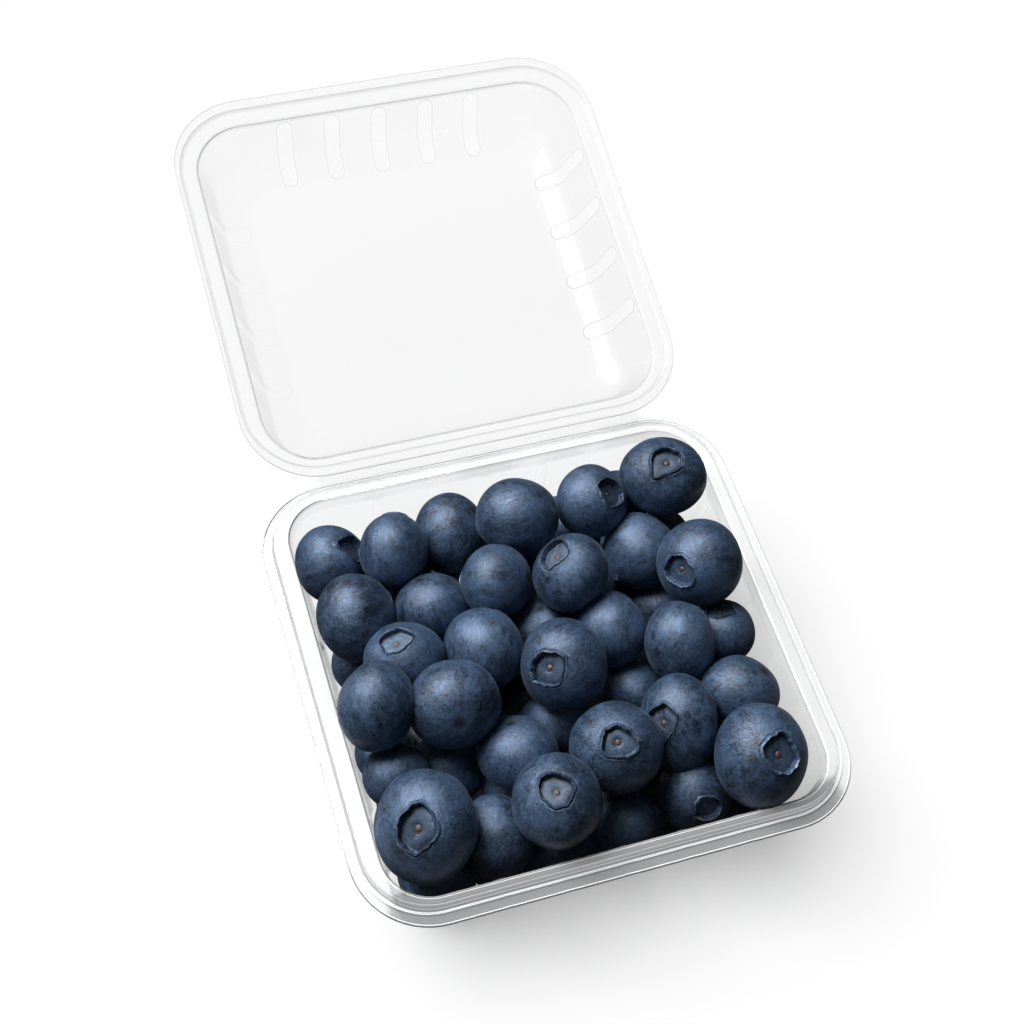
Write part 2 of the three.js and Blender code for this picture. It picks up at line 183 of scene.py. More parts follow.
class Nodes:
    """Short ways to add nodes to a tree, with inputs set to values or joined to sockets."""

    def __init__(self, tree):
        self.tree = tree

    def add(self, kind, settings=None, inputs=None):
        node = self.tree.nodes.new(kind)
        for label, value in (settings or {}).items():
            setattr(node, label, value)
        for key, value in (inputs or {}).items():
            if isinstance(value, bpy.types.NodeSocket):
                self.tree.links.new(value, node.inputs[key])
            else:
                node.inputs[key].default_value = value
        return node

    def sums(self, operation, *values):
        return self.add("ShaderNodeMath", {"operation": operation}, dict(enumerate(values))).outputs[0]

    def times(self, value, *others):
        for other in others:
            value = self.sums("MULTIPLY", value, other)
        return value

    def vector(self, operation, inputs):
        return self.add("ShaderNodeVectorMath", {"operation": operation}, inputs).outputs

    def step(self, value, low, high, to_low=0.0, to_high=1.0, kind="SMOOTHSTEP"):
        return self.add("ShaderNodeMapRange", {"interpolation_type": kind}, {
            "Value": value, "From Min": low, "From Max": high,
            "To Min": to_low, "To Max": to_high}).outputs["Result"]

    def blend(self, share, a, b):
        return self.add("ShaderNodeMix", {"data_type": "RGBA"}, {0: share, 6: a, 7: b}).outputs[2]

    def attribute(self, label, kind="FLOAT"):
        if self.tree.bl_idname == "GeometryNodeTree":
            node = self.add("GeometryNodeInputNamedAttribute", {"data_type": kind}, {"Name": label})
            return node.outputs["Attribute"]
        node = self.add("ShaderNodeAttribute", {"attribute_name": label})
        return node.outputs["Fac" if kind == "FLOAT" else "Vector"]


def new_material(name):
    """An empty material, and the way to add nodes to it."""
    material = bpy.data.materials.new(name)
    material.use_nodes = True
    material.node_tree.nodes.clear()
    return material, Nodes(material.node_tree)


def off_nearest_rib(n, side_pitch, end_pitch, side_ribs, end_ribs):
    """How far a point is, along its wall, from the middle of the nearest rib."""
    along, side = n.attribute("along_wall"), n.attribute("side_wall")
    pitch = n.sums("MULTIPLY_ADD", side, n.sums("SUBTRACT", side_pitch, end_pitch), end_pitch)
    count = n.sums("MULTIPLY_ADD", side, n.sums("SUBTRACT", side_ribs, end_ribs), end_ribs)
    shift = n.times(pitch, n.sums("MULTIPLY_ADD", count, 0.5, -0.5))
    nearest = n.sums("ROUND", n.sums("DIVIDE", n.sums("ADD", along, shift), pitch))
    nearest = n.sums("MINIMUM", n.sums("MAXIMUM", nearest, 0.0), n.sums("SUBTRACT", count, 1.0))
    centre = n.sums("SUBTRACT", n.times(nearest, pitch), shift)
    return n.sums("ABSOLUTE", n.sums("SUBTRACT", along, centre))


def clear_pet(name, tint, painted_highlight_strength, ribs=None, rim_from=None, front_painted_shading=0.0):
    """Clear PET: its bends and ribs show as painted dark lines and painted highlights, and its flange
    has a light haze.
    """
    material, n = new_material(name)
    sums, times, step, blend, attribute = n.sums, n.times, n.step, n.blend, n.attribute
    steep = n.add("ShaderNodeLayerWeight", inputs={"Blend": 0.5}).outputs["Facing"]
    mirror = sums("MULTIPLY_ADD", sums("POWER", steep, 5.0), 0.1, 0.03)

    # the bends get painted dark lines, for the shade seen through them, at the front and at the left;
    # at the right and back they are faint
    at_front = step(attribute("to_front"), 0.6, 0.95)
    elsewhere = sums("SUBTRACT", 1.0, at_front)
    at_left = step(attribute("to_left"), 0.3, 0.9)
    side = times(attribute("side_line"), sums("MULTIPLY_ADD", at_left, 0.75, 0.25), elsewhere)
    dark = sums("ADD", times(attribute("front_line"), at_front), side)
    bright = attribute("bright_bend")
    haze_and_painted_highlight_share = times(bright, painted_highlight_strength)
    if rim_from is not None:
        flange = step(attribute("level"), (rim_from - 1.2) * mm, (rim_from - 0.2) * mm)
        # along the front the flange is painted grey, for the shade seen through it
        front = times(flange, step(attribute("to_front"), 0.78, 0.97), front_painted_shading)
        haze_and_painted_highlight_share = sums("MAXIMUM", haze_and_painted_highlight_share, sums("MAXIMUM", times(flange, 0.1), front))
    if ribs:
        off = off_nearest_rib(n, ribs["side_pitch"] * mm, ribs["end_pitch"] * mm,
                              ribs["side_ribs"], ribs["end_ribs"])
        # the rib is a slot with round ends: its edge is where this distance is nought
        foot, head, half = ribs["foot"] * mm, ribs["head"] * mm, ribs["slot"] / 2 * mm
        beyond = sums("ABSOLUTE", sums("SUBTRACT", attribute("run"), (foot + head) / 2))
        beyond = sums("MAXIMUM", sums("SUBTRACT", beyond, (head - foot) / 2 - half), 0.0)
        reach = sums("SQRT", sums("ADD", sums("POWER", off, 2.0), sums("POWER", beyond, 2.0)))
        edge = sums("SUBTRACT", reach, half)
        near_edge = sums("ABSOLUTE", edge)
        # the painted outlines and painted highlights of the ribs show best in the far and right walls
        shown = times(elsewhere, sums("MULTIPLY_ADD", at_left, -0.85, 1.0))
        outline = times(step(near_edge, 0.2 * mm, 0.05 * mm), shown, ribs["outline"])
        face = times(step(edge, -0.1 * mm, -0.35 * mm), shown, ribs["face"])
        dark, bright = sums("MAXIMUM", dark, outline), sums("MAXIMUM", bright, face)
        # the ribs' edges mirror no lamp
        crease = times(step(near_edge, 0.42 * mm, 0.22 * mm), shown)
        mirror = times(mirror, sums("SUBTRACT", 1.0, crease))

    # light passes through, a little less where the sheet is seen at a slant
    depth = n.add("ShaderNodeValToRGB", inputs={"Fac": steep})
    ramp = depth.color_ramp
    ramp.elements[0].color = tint
    ramp.elements[1].color = (0.94, 0.945, 0.95, 1)
    for position, share in ((0.55, 0.99), (0.85, 0.97)):
        ramp.elements.new(position).color = [c * share for c in tint[:3]] + [1]
    # a painted highlight lets more light through the bend
    seen = blend(times(bright, 0.8), depth.outputs["Color"], (1, 1, 1, 1))
    # what shows through turns nearly black along the painted dark lines
    through = n.add("ShaderNodeBsdfTransparent", inputs={
        "Color": blend(dark, seen, (0.12, 0.125, 0.13, 1))})

    # painted highlights off the bends and a light haze on the flange, and along the front a painted
    # grey for the shade seen through the flange, with painted light on its riser; the painted dark
    # lines darken it all
    pale = glare = (0.95, 0.955, 0.96, 1)
    if front_painted_shading:
        level = attribute("level")
        riser = times(step(level, (rim_from + 0.1) * mm, (rim_from + 0.5) * mm),
                      step(level, (rim_from + 2.2) * mm, (rim_from + 1.9) * mm))
        grey = blend(riser, (0.24, 0.242, 0.245, 1), (0.6, 0.61, 0.62, 1))
        glare = blend(sums("MINIMUM", times(front, 3.0), 1.0), pale, grey)
    haze_and_painted_highlight = n.add("ShaderNodeBsdfDiffuse", inputs={
        "Color": blend(dark, blend(bright, glare, pale), (0.02, 0.021, 0.022, 1))})
    gloss = n.add("ShaderNodeBsdfGlossy", inputs={"Roughness": 0.06, "Color": (1, 1, 1, 1)})

    # lamps shine straight through it: the haze, the painted highlights and shade, and the gloss are for
    # the eye alone
    ray = n.add("ShaderNodeLightPath").outputs
    to_eye = sums("SUBTRACT", 1.0, sums("MAXIMUM", ray["Is Shadow Ray"], ray["Is Diffuse Ray"]))
    where = n.add("ShaderNodeTexCoord").outputs["Object"]
    waves = n.add("ShaderNodeTexNoise", inputs={"Scale": 40, "Detail": 3, "Vector": where})
    haze = step(waves.outputs["Fac"], 0.35, 0.75, 0.0, 0.012)
    with_haze_and_painted_highlight = n.add("ShaderNodeMixShader", inputs={
        "Fac": times(sums("ADD", haze_and_painted_highlight_share, haze), to_eye), 1: through.outputs[0], 2: haze_and_painted_highlight.outputs[0]})
    mix = n.add("ShaderNodeMixShader", inputs={
        "Fac": times(mirror, to_eye), 1: with_haze_and_painted_highlight.outputs[0], 2: gloss.outputs[0]})
    n.add("ShaderNodeOutputMaterial", inputs={"Surface": mix.outputs["Shader"]})
    return material


def new_tree(name, inputs):
    """An empty Geometry Nodes tree with named inputs."""
    tree = bpy.data.node_groups.new(name, "GeometryNodeTree")
    for way in ("INPUT", "OUTPUT"):
        tree.interface.new_socket("Geometry", in_out=way, socket_type="NodeSocketGeometry")
    for label, kind in inputs:
        tree.interface.new_socket(label, in_out="INPUT", socket_type="NodeSocket" + kind)
    return Nodes(tree), tree.nodes.new("NodeGroupInput").outputs


def pressed_ribs_tree():
    """Pushes upright ribs into the four walls of a moulded sheet."""
    n, g = new_tree("pressed_ribs", [
        ("Side pitch", "Float"), ("End pitch", "Float"), ("Side ribs", "Float"), ("End ribs", "Float"),
        ("Width", "Float"), ("Depth", "Float"), ("Foot height", "Float"), ("Head height", "Float"),
        ("Run out", "Float"), ("Plastic", "Material")])
    off = off_nearest_rib(n, g["Side pitch"], g["End pitch"], g["Side ribs"], g["End ribs"])
    ridge = n.step(off, n.times(g["Width"], 0.5), n.times(g["Width"], 0.16))
    at = n.add("GeometryNodeInputPosition").outputs[0]
    height = n.add("ShaderNodeSeparateXYZ", inputs={0: at}).outputs["Z"]
    foot = n.step(height, g["Foot height"], n.sums("ADD", g["Foot height"], g["Run out"]))
    head = n.step(height, g["Head height"], n.sums("SUBTRACT", g["Head height"], g["Run out"]))
    push = n.times(ridge, foot, n.times(head, g["Depth"]))
    move = n.vector("SCALE", {0: n.attribute("way_in", "FLOAT_VECTOR"), "Scale": push})[0]
    pushed = n.add("GeometryNodeSetPosition", inputs={"Geometry": g["Geometry"], "Offset": move})
    real = n.add("GeometryNodeRealizeInstances", inputs={0: pushed.outputs[0]})
    coat = n.add("GeometryNodeSetMaterial", inputs={
        "Geometry": real.outputs[0], "Material": g["Plastic"]})
    n.add("NodeGroupOutput", inputs={0: coat.outputs[0]})
    return n.tree


def give_tree(piece, tree, **values):
    """Hangs a node tree on a piece and sets its inputs by their identifiers."""
    modifier = piece.modifiers.new(tree.name, "NODES")
    modifier.node_group = tree
    for item in tree.interface.items_tree:
        key = item.name.replace(" ", "_")
        if item.in_out == "INPUT" and key in values:
            modifier[item.identifier] = values[key]


def press_ribs(piece, ribs, plastic, width, depth, foot_height, head_height, run_out):
    """Presses the ribs into a sheet and gives it its plastic."""
    give_tree(piece, ribs_tree, Side_pitch=ribs["side_pitch"] * mm, End_pitch=ribs["end_pitch"] * mm,
              Side_ribs=ribs["side_ribs"], End_ribs=ribs["end_ribs"], Width=width * mm,
              Depth=depth * mm, Foot_height=foot_height * mm, Head_height=head_height * mm,
              Run_out=run_out * mm, Plastic=plastic)


def settle(piece, smooth_angle=40):
    """Turns an object with modifiers into a plain mesh at the origin."""
    bpy.context.view_layer.update()
    seen = piece.evaluated_get(bpy.context.evaluated_depsgraph_get())
    mesh = bpy.data.meshes.new_from_object(seen)
    piece.modifiers.clear()
    old = piece.data
    piece.data = mesh
    mesh.name = piece.name
    bpy.data.meshes.remove(old)
    if "place" in piece:
        p = list(piece["place"])
        mesh.transform(Matrix([p[0:4], p[4:8], p[8:12], p[12:16]]))
        del piece["place"]
    mesh.polygons.foreach_set("use_smooth", [True] * len(mesh.polygons))
    mesh.set_sharp_from_angle(angle=math.radians(smooth_angle))
    for leftover in ("way_in", "across", "turn", "stretch", "middle"):
        if leftover in mesh.attributes:
            mesh.attributes.remove(mesh.attributes[leftover])


def thicken(piece, thickness):
    """Gives a sheet its thickness, on the side away from the berries."""
    wall = piece.modifiers.new("sheet", "SOLIDIFY")
    wall.thickness = thickness
    wall.offset = -1
    wall.use_even_offset = True


bead_top = LIP_HEIGHT + BEAD_HEIGHT
tray_outline = {"half_width": TRAY_WIDTH / 2, "near": -TRAY_DEPTH / 2, "far": TRAY_DEPTH / 2,
                "corner": TRAY_CORNER, "tightest": 6, "plain_near_wall": False}
# where given, a row ends with its bend's painted dark line at the front, painted dark line at the sides
# and painted highlight
tray_profile = bent_profile([
    further_in(TRAY_BEAD_INSIDE, 18, 0.6),
    further_in(TRAY_BEAD_INSIDE, 5.9, 0.6, 5),
    further_in(TRAY_BEAD_INSIDE, 0.75, bead_top - 1.6, 1.0),
    further_in(TRAY_BEAD_INSIDE, 0.42, bead_top - 0.72, 0.25, 0.0, 0.3),
    further_in(TRAY_BEAD_INSIDE, 0.22, bead_top - 0.24, 0.22, 0.0, 1.0),
    further_in(TRAY_BEAD_INSIDE, -0.25, bead_top, 0.17, 0.0, 0.0, 1.0),
    further_in(TRAY_BEAD_OUTSIDE, 0.7, bead_top - 0.08, 0.15, 0.2),
    further_in(TRAY_BEAD_OUTSIDE, 0.35, bead_top - 0.1, 0.12, 0.0, 0.0, 0.6),
    further_in(TRAY_BEAD_OUTSIDE, 0.15, LIP_HEIGHT + 1.35, 0.11, 0.75, 0.6),
    further_in(TRAY_BEAD_OUTSIDE, 0.05, LIP_HEIGHT + 0.85, 0.14, 0.0, 0.0, 0.7),
    further_in(TRAY_BEAD_OUTSIDE, -0.1, LIP_HEIGHT + 0.35, 0.11, 0.65, 1.0),
    further_in(TRAY_BEAD_OUTSIDE, -0.4, LIP_HEIGHT + 0.02, 0.18, 0.0, 0.0, 1.0),
    further_in(TRAY_BEAD_OUTSIDE, -0.65, LIP_HEIGHT - 0.02, 0.14, 0.0, 0.0, 0.9),
    further_in(TRAY_BEAD_OUTSIDE, -0.95, LIP_HEIGHT - 0.04, 0.11, 0.45),
    (0.75, 0.75, 0.75, LIP_HEIGHT, 0.3, 0.0, 0.0, 0.0),
    (0.38, 0.18, 0.38, LIP_HEIGHT + 0.05, 0.1, 0.0, 0.0, 1.0),
    (0.16, -0.04, 0.16, LIP_HEIGHT + 0.02, 0.09, 1.0, 0.9, 0.0),
    (0.0, -0.2, 0.0, LIP_HEIGHT, 0, 1.0, 0.9, 0.0),
])
no_turn = Matrix.Identity(4)
tray = sheet_mesh("tray_sheet", tray_outline, tray_profile, no_turn)
# outline and face give each rib a painted dark outline and a painted highlight
tray_ribs = {"side_pitch": 13.7, "end_pitch": 12.6, "side_ribs": 5.0, "end_ribs": 5.0,
             "slot": 2.5, "foot": run_at(tray_profile, 6), "head": run_at(tray_profile, 36.4),
             "outline": 0.06, "face": 0.05}
tray_plastic = clear_pet("tray_clear_pet", (0.984, 0.986, 0.986, 1), painted_highlight_strength=1.0, ribs=tray_ribs,
                         rim_from=LIP_HEIGHT, front_painted_shading=0.85)
ribs_tree = pressed_ribs_tree()
press_ribs(tray, tray_ribs, tray_plastic, width=3.4, depth=1.0, foot_height=6, head_height=36.4,
           run_out=3)
thicken(tray, SHEET_THICKNESS)
settle(tray)
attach(tray, "tray_body")
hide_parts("tray")

# ---- berries -------------------------------------------------------------------------
# The tray is heaped with fresh blueberries of 13 to 20 mm. Those on top lie as they were
# poured, some with the crown up; those below fill the tray, and cannot be told apart.

# Each berry's place is x, y and height over the lip, then its diameter, how much longer it
# is uphill (or sideways, below nought), and the way that its crown looks, where known.
TOP_BERRIES = [
    # the back row, from the left
    ((-38, 36, -8), 16, 0.03, (0.63, -0.12, 0.77)),
    ((-25.7, 31, 0.5), 14, 0.2, None),
    ((-11.5, 35, -5), 16, 0.11, None),
    ((2, 31, 3.5), 17.5, -0.11, None),
    ((19.5, 32, 1.5), 15.5, 0.03, (0.41, -0.31, 0.86)),
    ((36.5, 33, 4), 17.5, -0.09, (-0.09, -0.12, 0.99)),
    # the second row
    ((-37, 19.5, -3.5), 17, 0.06, None),
    ((-21, 17.5, -3), 15.5, -0.05, None),
    ((-7, 17.5, 2.5), 15.5, 0.01, None),
    ((8, 13.5, 6.5), 15.5, 0.04, (-0.53, 0.3, 0.79)),
    ((28, 20.5, -4.5), 15.5, 0.11, (-0.71, -0.36, -0.6)),
    ((36, 9.5, 5.5), 18, 0, (-0.79, -0.33, 0.51)),
    # the third row
    ((-30.5, 5.5, 1.5), 15.5, -0.15, (-0.26, 0.17, 0.95)),
    ((-14, 3.5, 0.5), 16.5, 0.05, None),
    ((0.5, -5.5, 4), 17.5, 0.05, (-0.65, -0.32, 0.69)),
    ((14, 1.5, -0.5), 15, 0.08, None),
    ((26, -6.5, 3), 14.5, 0.17, None),
    ((38, -3.5, -3), 14, 0, (-0.12, 0.38, 0.92)),
    # the fourth row
    ((-39.9, -6, 6.7), 15.5, 0.14, (0.43, -0.79, -0.45)),
    ((-24.5, -9, 5.5), 18, -0.06, (0.12, 0.81, -0.58)),
    ((-13.5, -20, -1), 15.5, -0.06, (0.1, -0.6, -0.79)),
    ((4.5, -26.5, 5), 18, -0.01, (-0.18, -0.22, 0.96)),
    ((20, -23, 0.5), 16, 0.24, (-0.71, -0.14, 0.69)),
    ((35, -19.5, 1), 15.5, -0.1, None),
    # the front row
    ((-36.5, -31.5, 2.5), 19.5, 0.1, (-0.36, -0.34, 0.87)),
    ((-22, -34, -7), 15.5, 0.1, None),
    ((-11, -34.5, 6), 17.5, 0.04, (-0.14, -0.13, 0.98)),
    ((5, -36, -11), 14, 0, None),
    ((21, -35, -9), 15.5, 0, (-0.02, -0.74, 0.67)),
    ((32.5, -35.5, 4.5), 18.5, 0.11, (0.16, -0.43, 0.89)),
    # deeper berries, in the gaps
    ((29, 36, -8.5), 13.5, 0, None),
    ((36.5, 26.5, -12.5), 13, 0, None),
    ((24, 22, -18), 13, 0, None),
    ((2, 8.5, -6.5), 14, 0, (0.18, -0.28, -0.94)),
    ((30.5, 10.5, -15), 14, 0, None),
    ((16.5, -9, -10), 14, 0, None),
    ((-1.5, -11, -10.5), 14.5, 0, None),
    ((-36.5, 15.5, -18), 13, 0, None),
    ((-38, -16.5, -5.5), 13.5, 0, None),
    ((-37.5, -7, -15), 13, 0, None),
    ((-26.6, -15.3, -11.5), 15, 0, None),
    ((-9.5, -35.5, -13.5), 13, 0, None),
    ((-33.6, -36.2, -13), 14.5, 0, None),
]
# the berries below: two layers of five rows of five, before they settle
FILL_LAYERS = (8.6, 21.5)
FILL_PITCH = 16.6
FILL_SIDE = 5
FILL_SHIFT = 3
FILL_LOOSE = 4
SETTLING_ROUNDS = 200
MAY_OVERLAP = 0.62
WALL_CLEARANCE = 1.6
WALL_FOOT = (5.3, 5.6)
FLOOR_TOP = 0.6


def wobble(k):
    """A repeatable number from 0 to 1 for each k."""
    s = math.sin(k * 12.9898 + 4.1) * 43758.5453
    return s - math.floor(s)


def inside_mouth(x, y):
    """How far a point is inside the mouth's edge, seen from above, and the way out."""
    side, front, back = TRAY_BEAD_INSIDE
    near, far = -TRAY_DEPTH / 2 + front, TRAY_DEPTH / 2 - back
    radius, middle = TRAY_CORNER - side, (near + far) / 2
    beyond_x = abs(x) - (TRAY_WIDTH / 2 - side - radius)
    beyond_y = abs(y - middle) - ((far - near) / 2 - radius)
    out_x, out_y = max(beyond_x, 0), max(beyond_y, 0)
    length = math.hypot(out_x, out_y)
    depth = radius - length - min(max(beyond_x, beyond_y), 0)
    if length == 0:
        out_x, out_y, length = (1, 0, 1) if beyond_x > beyond_y else (0, 1, 1)
    return depth, math.copysign(out_x / length, x), math.copysign(out_y / length, y - middle)


def keep_inside(berry):
    """Moves a berry in until it clears the wall, its ribs and the floor."""
    depth, out_x, out_y = inside_mouth(berry["x"], berry["y"])
    wall_x, wall_z = -WALL_FOOT[0], bead_top - WALL_FOOT[1]
    along = (depth - WALL_FOOT[0]) * wall_x + (berry["z"] - WALL_FOOT[1]) * wall_z
    share = min(max(along / (wall_x ** 2 + wall_z ** 2), 0), 1)
    away_x = depth - (WALL_FOOT[0] + share * wall_x)
    away_z = berry["z"] - (WALL_FOOT[1] + share * wall_z)
    gap = math.hypot(away_x, away_z)
    cross = berry["r"] + WALL_CLEARANCE - gap
    if cross > 0:
        berry["x"] -= out_x * away_x / gap * cross
        berry["y"] -= out_y * away_x / gap * cross
        berry["z"] += away_z / gap * cross
    berry["z"] = max(berry["z"], FLOOR_TOP + 0.3 + berry["r"])


def apart(a, b):
    """The distance between the middles of two berries."""
    return math.dist((a["x"], a["y"], a["z"]), (b["x"], b["y"], b["z"]))


def settled_heap():
    """Every berry: those on top stay, and the layers below are pushed apart until they touch."""
    berries = [{"x": at[0], "y": at[1], "z": LIP_HEIGHT + at[2],
                "r": across / 2 * (1 + min(tall, 0) / 2), "tall": tall, "crown": crown, "fixed": True}
               for at, across, tall, crown in TOP_BERRIES]
    k = 0
    for layer, height in enumerate(FILL_LAYERS):
        for i in range(FILL_SIDE):
            for j in range(FILL_SIDE):
                k += 1
                shift = (FILL_SHIFT if layer % 2 else -FILL_SHIFT) * (1 if j % 2 else -1)
                middle = (FILL_SIDE - 1) / 2
                berry = {"x": (i - middle) * FILL_PITCH + shift + FILL_LOOSE * (wobble(k) - 0.5),
                         "y": (j - middle) * FILL_PITCH + FILL_LOOSE * (wobble(k + 100) - 0.5),
                         "z": FLOOR_TOP + height + FILL_LOOSE / 2 * (wobble(k + 200) - 0.5),
                         "r": 7.4 + 1.4 * wobble(k + 300), "tall": 0, "crown": None, "fixed": False}
                if not any(b["fixed"] and apart(b, berry) < MAY_OVERLAP * (b["r"] + berry["r"])
                           for b in berries):
                    berries.append(berry)
    for _ in range(SETTLING_ROUNDS):
        for a in berries:
            if a["fixed"]:
                continue
            for b in berries:
                if a is b:
                    continue
                gap = apart(a, b)
                cross = a["r"] + b["r"] - gap
                if cross <= 0:
                    continue
                push = cross / gap * (0.5 if b["fixed"] else 0.3)
                for axis in "xyz":
                    a[axis] += (a[axis] - b[axis]) * push
            a["z"] -= 0.02
            keep_inside(a)
    return berries


def crown_outline(angle, sides, seed):
    """How far out the crown's edge runs at an angle: a blunt polygon, a little uneven."""
    turn = 2 * math.pi / sides
    reach = 0.0
    for k in range(sides):
        c = math.cos(angle - (k + 0.6 * (wobble(seed + k) - 0.5)) * turn)
        if c > 0.15:
            reach += (c / (1 + 0.24 * (wobble(seed + 40 + k) - 0.5))) ** 6
    crumple = sum(size * math.sin(waves * angle + 6.3 * wobble(seed + waves))
                  for waves, size in ((3, 0.02), (7, 0.02), (11, 0.017), (16, 0.013), (23, 0.008)))
    return reach ** (-1 / 6) + crumple


# a berry one unit across is a little wider than it is high
HALF_WIDTH = 0.52
HALF_HEIGHT = 0.49


def berry_mesh(name, sides, seed, columns=96, rows_below=32, crown_reach=0.185, pit_depth=0.055):
    """A berry one unit across, its crown up: the dry calyx is a flat pit inside a thin ragged rim."""
    # share of the crown's reach, height over the skin (or over the pit's floor where deep),
    # then how far it is rim, pit, dot and shade, and whether it is down in the pit
    crown_rows = [
        (0.05, 0.004, 0, 1.0, 1.0, 0.0, 1), (0.085, 0.003, 0, 1.0, 1.0, 0.0, 1),
        (0.12, -0.004, 0, 1.0, 0.7, 0.2, 1), (0.17, -0.009, 0, 1.0, 0.2, 0.6, 1),
        (0.24, -0.005, 0, 1.0, 0.0, 0.25, 1), (0.36, 0.0, 0, 1.0, 0, 0.0, 1),
        (0.5, 0.0, 0, 1.0, 0, 0.0, 1), (0.66, -0.001, 0, 1.0, 0, 0.0, 1),
        (0.78, -0.006, 0, 1.0, 0, 0.1, 1), (0.86, -0.01, 0, 0.8, 0, 0.3, 1),
        (0.9, 0.0, 0, 0.6, 0, 0.6, 1), (0.925, 0.035, 0.1, 0.3, 0, 0.6, 1),
        (0.94, 0.058, 0.5, 0.2, 0, 0.2, 1), (0.95, 0.008, 0.9, 0.1, 0, 0.0, 0),
        (0.975, 0.018, 1.0, 0.0, 0, 0.0, 0), (1.0, 0.016, 0.9, 0, 0, 0.0, 0),
        (1.025, 0.004, 0.35, 0, 0, 0.3, 0), (1.05, -0.004, 0.1, 0, 0, 0.75, 0),
        (1.085, -0.004, 0.0, 0, 0, 0.5, 0), (1.12, 0.003, 0.5, 0, 0, 0.0, 0),
        (1.16, 0.001, 0.15, 0, 0, 0.15, 0), (1.24, -0.001, 0, 0, 0, 0.05, 0),
        (1.42, 0, 0, 0, 0, 0, 0),
    ]
    brim = HALF_HEIGHT * math.cos(math.asin(crown_reach / HALF_WIDTH))
    points = [(0, 0, brim - pit_depth + 0.003)]
    masks = [(0.0, 1.0, 1.0, 0.0)]
    last = math.asin(crown_reach * 1.42 / HALF_WIDTH)
    for share, lift, rim, pit, dot, shade, deep in crown_rows:
        for k in range(columns):
            angle = 2 * math.pi * k / columns
            outline = crown_outline(angle, sides, seed)
            # the dot in the middle and the skin well outside the crown are round
            dot_round = min(max((0.5 - share) / 0.25, 0), 1)
            keep_round = max(min(max((share - 1.05) / 0.4, 0), 1), dot_round)
            reach = crown_reach * share * (outline * (1 - keep_round) + keep_round)
            tooth = 0
            if rim > 0.5:
                flutter = (math.sin(angle * 3 + 1.7 * math.sin(angle * 2 + seed))
                           + 0.6 * math.sin(angle * 5 + 2 * math.sin(angle + seed)))
                tooth = rim * 0.007 * flutter
                reach *= 1 + 0.03 * rim * math.sin(angle * 4 + 2 * math.sin(angle * 2 + seed))
            if share > 0.9:
                # the rim is dry skin: its pale edge, and the painted shade in the groove behind it,
                # fade step by step round it
                fray = 0.5 + 0.5 * math.sin(angle * 5 + 9 * share + 2.5 * math.sin(angle * 3 + seed))
                rim, shade = rim * (0.55 + 0.45 * fray), shade * (1.1 - 0.7 * fray)
            if deep:
                tilt = 0.012 * math.sin(angle + seed) * share
                height = brim - pit_depth + lift + tilt * (1 if share < 0.85 else 0.3)
            else:
                polar = math.asin(min(reach / HALF_WIDTH, 1))
                height = HALF_HEIGHT * math.cos(polar) + lift + tooth
            points.append((reach * math.cos(angle), reach * math.sin(angle), height))
            masks.append((rim, pit, dot, shade))
    for row in range(1, rows_below + 1):
        polar = last + (math.pi - last) * row / (rows_below + 1)
        from_foot = math.pi - polar
        stem = 0.02 * math.exp(-((from_foot / 0.15) ** 2))
        shade = 0.8 if from_foot < 0.12 else 0.25 if from_foot < 0.2 else 0
        for k in range(columns):
            angle = 2 * math.pi * k / columns
            out, up = HALF_WIDTH * math.sin(polar), HALF_HEIGHT * math.cos(polar) + stem
            points.append((out * math.cos(angle), out * math.sin(angle), up))
            masks.append((0.12 if 0.1 < from_foot < 0.2 else 0, 0, 0, shade))
    points.append((0, 0, -HALF_HEIGHT + 0.026))
    masks.append((0, 0, 0, 0.9))
    faces = []
    rings = len(crown_rows) + rows_below
    for k in range(columns):
        faces.append((0, 1 + k, 1 + (k + 1) % columns))
        tail = 1 + (rings - 1) * columns
        faces.append((tail + k, len(points) - 1, tail + (k + 1) % columns))
    for ring in range(rings - 1):
        a, b = 1 + ring * columns, 1 + (ring + 1) * columns
        for k in range(columns):
            j = (k + 1) % columns
            faces.append((a + k, b + k, b + j, a + j))
    mesh = bpy.data.meshes.new(name)
    mesh.from_pydata(points, [], faces)
    for index, label in enumerate(("rim", "pit", "dot", "shade")):
        mark(mesh, label, [m[index] for m in masks])
    mark(mesh, "skin_place", [c for p in points for c in p], "FLOAT_VECTOR")
    mesh.polygons.foreach_set("use_smooth", [True] * len(mesh.polygons))
    return bpy.data.objects.new(name, mesh)


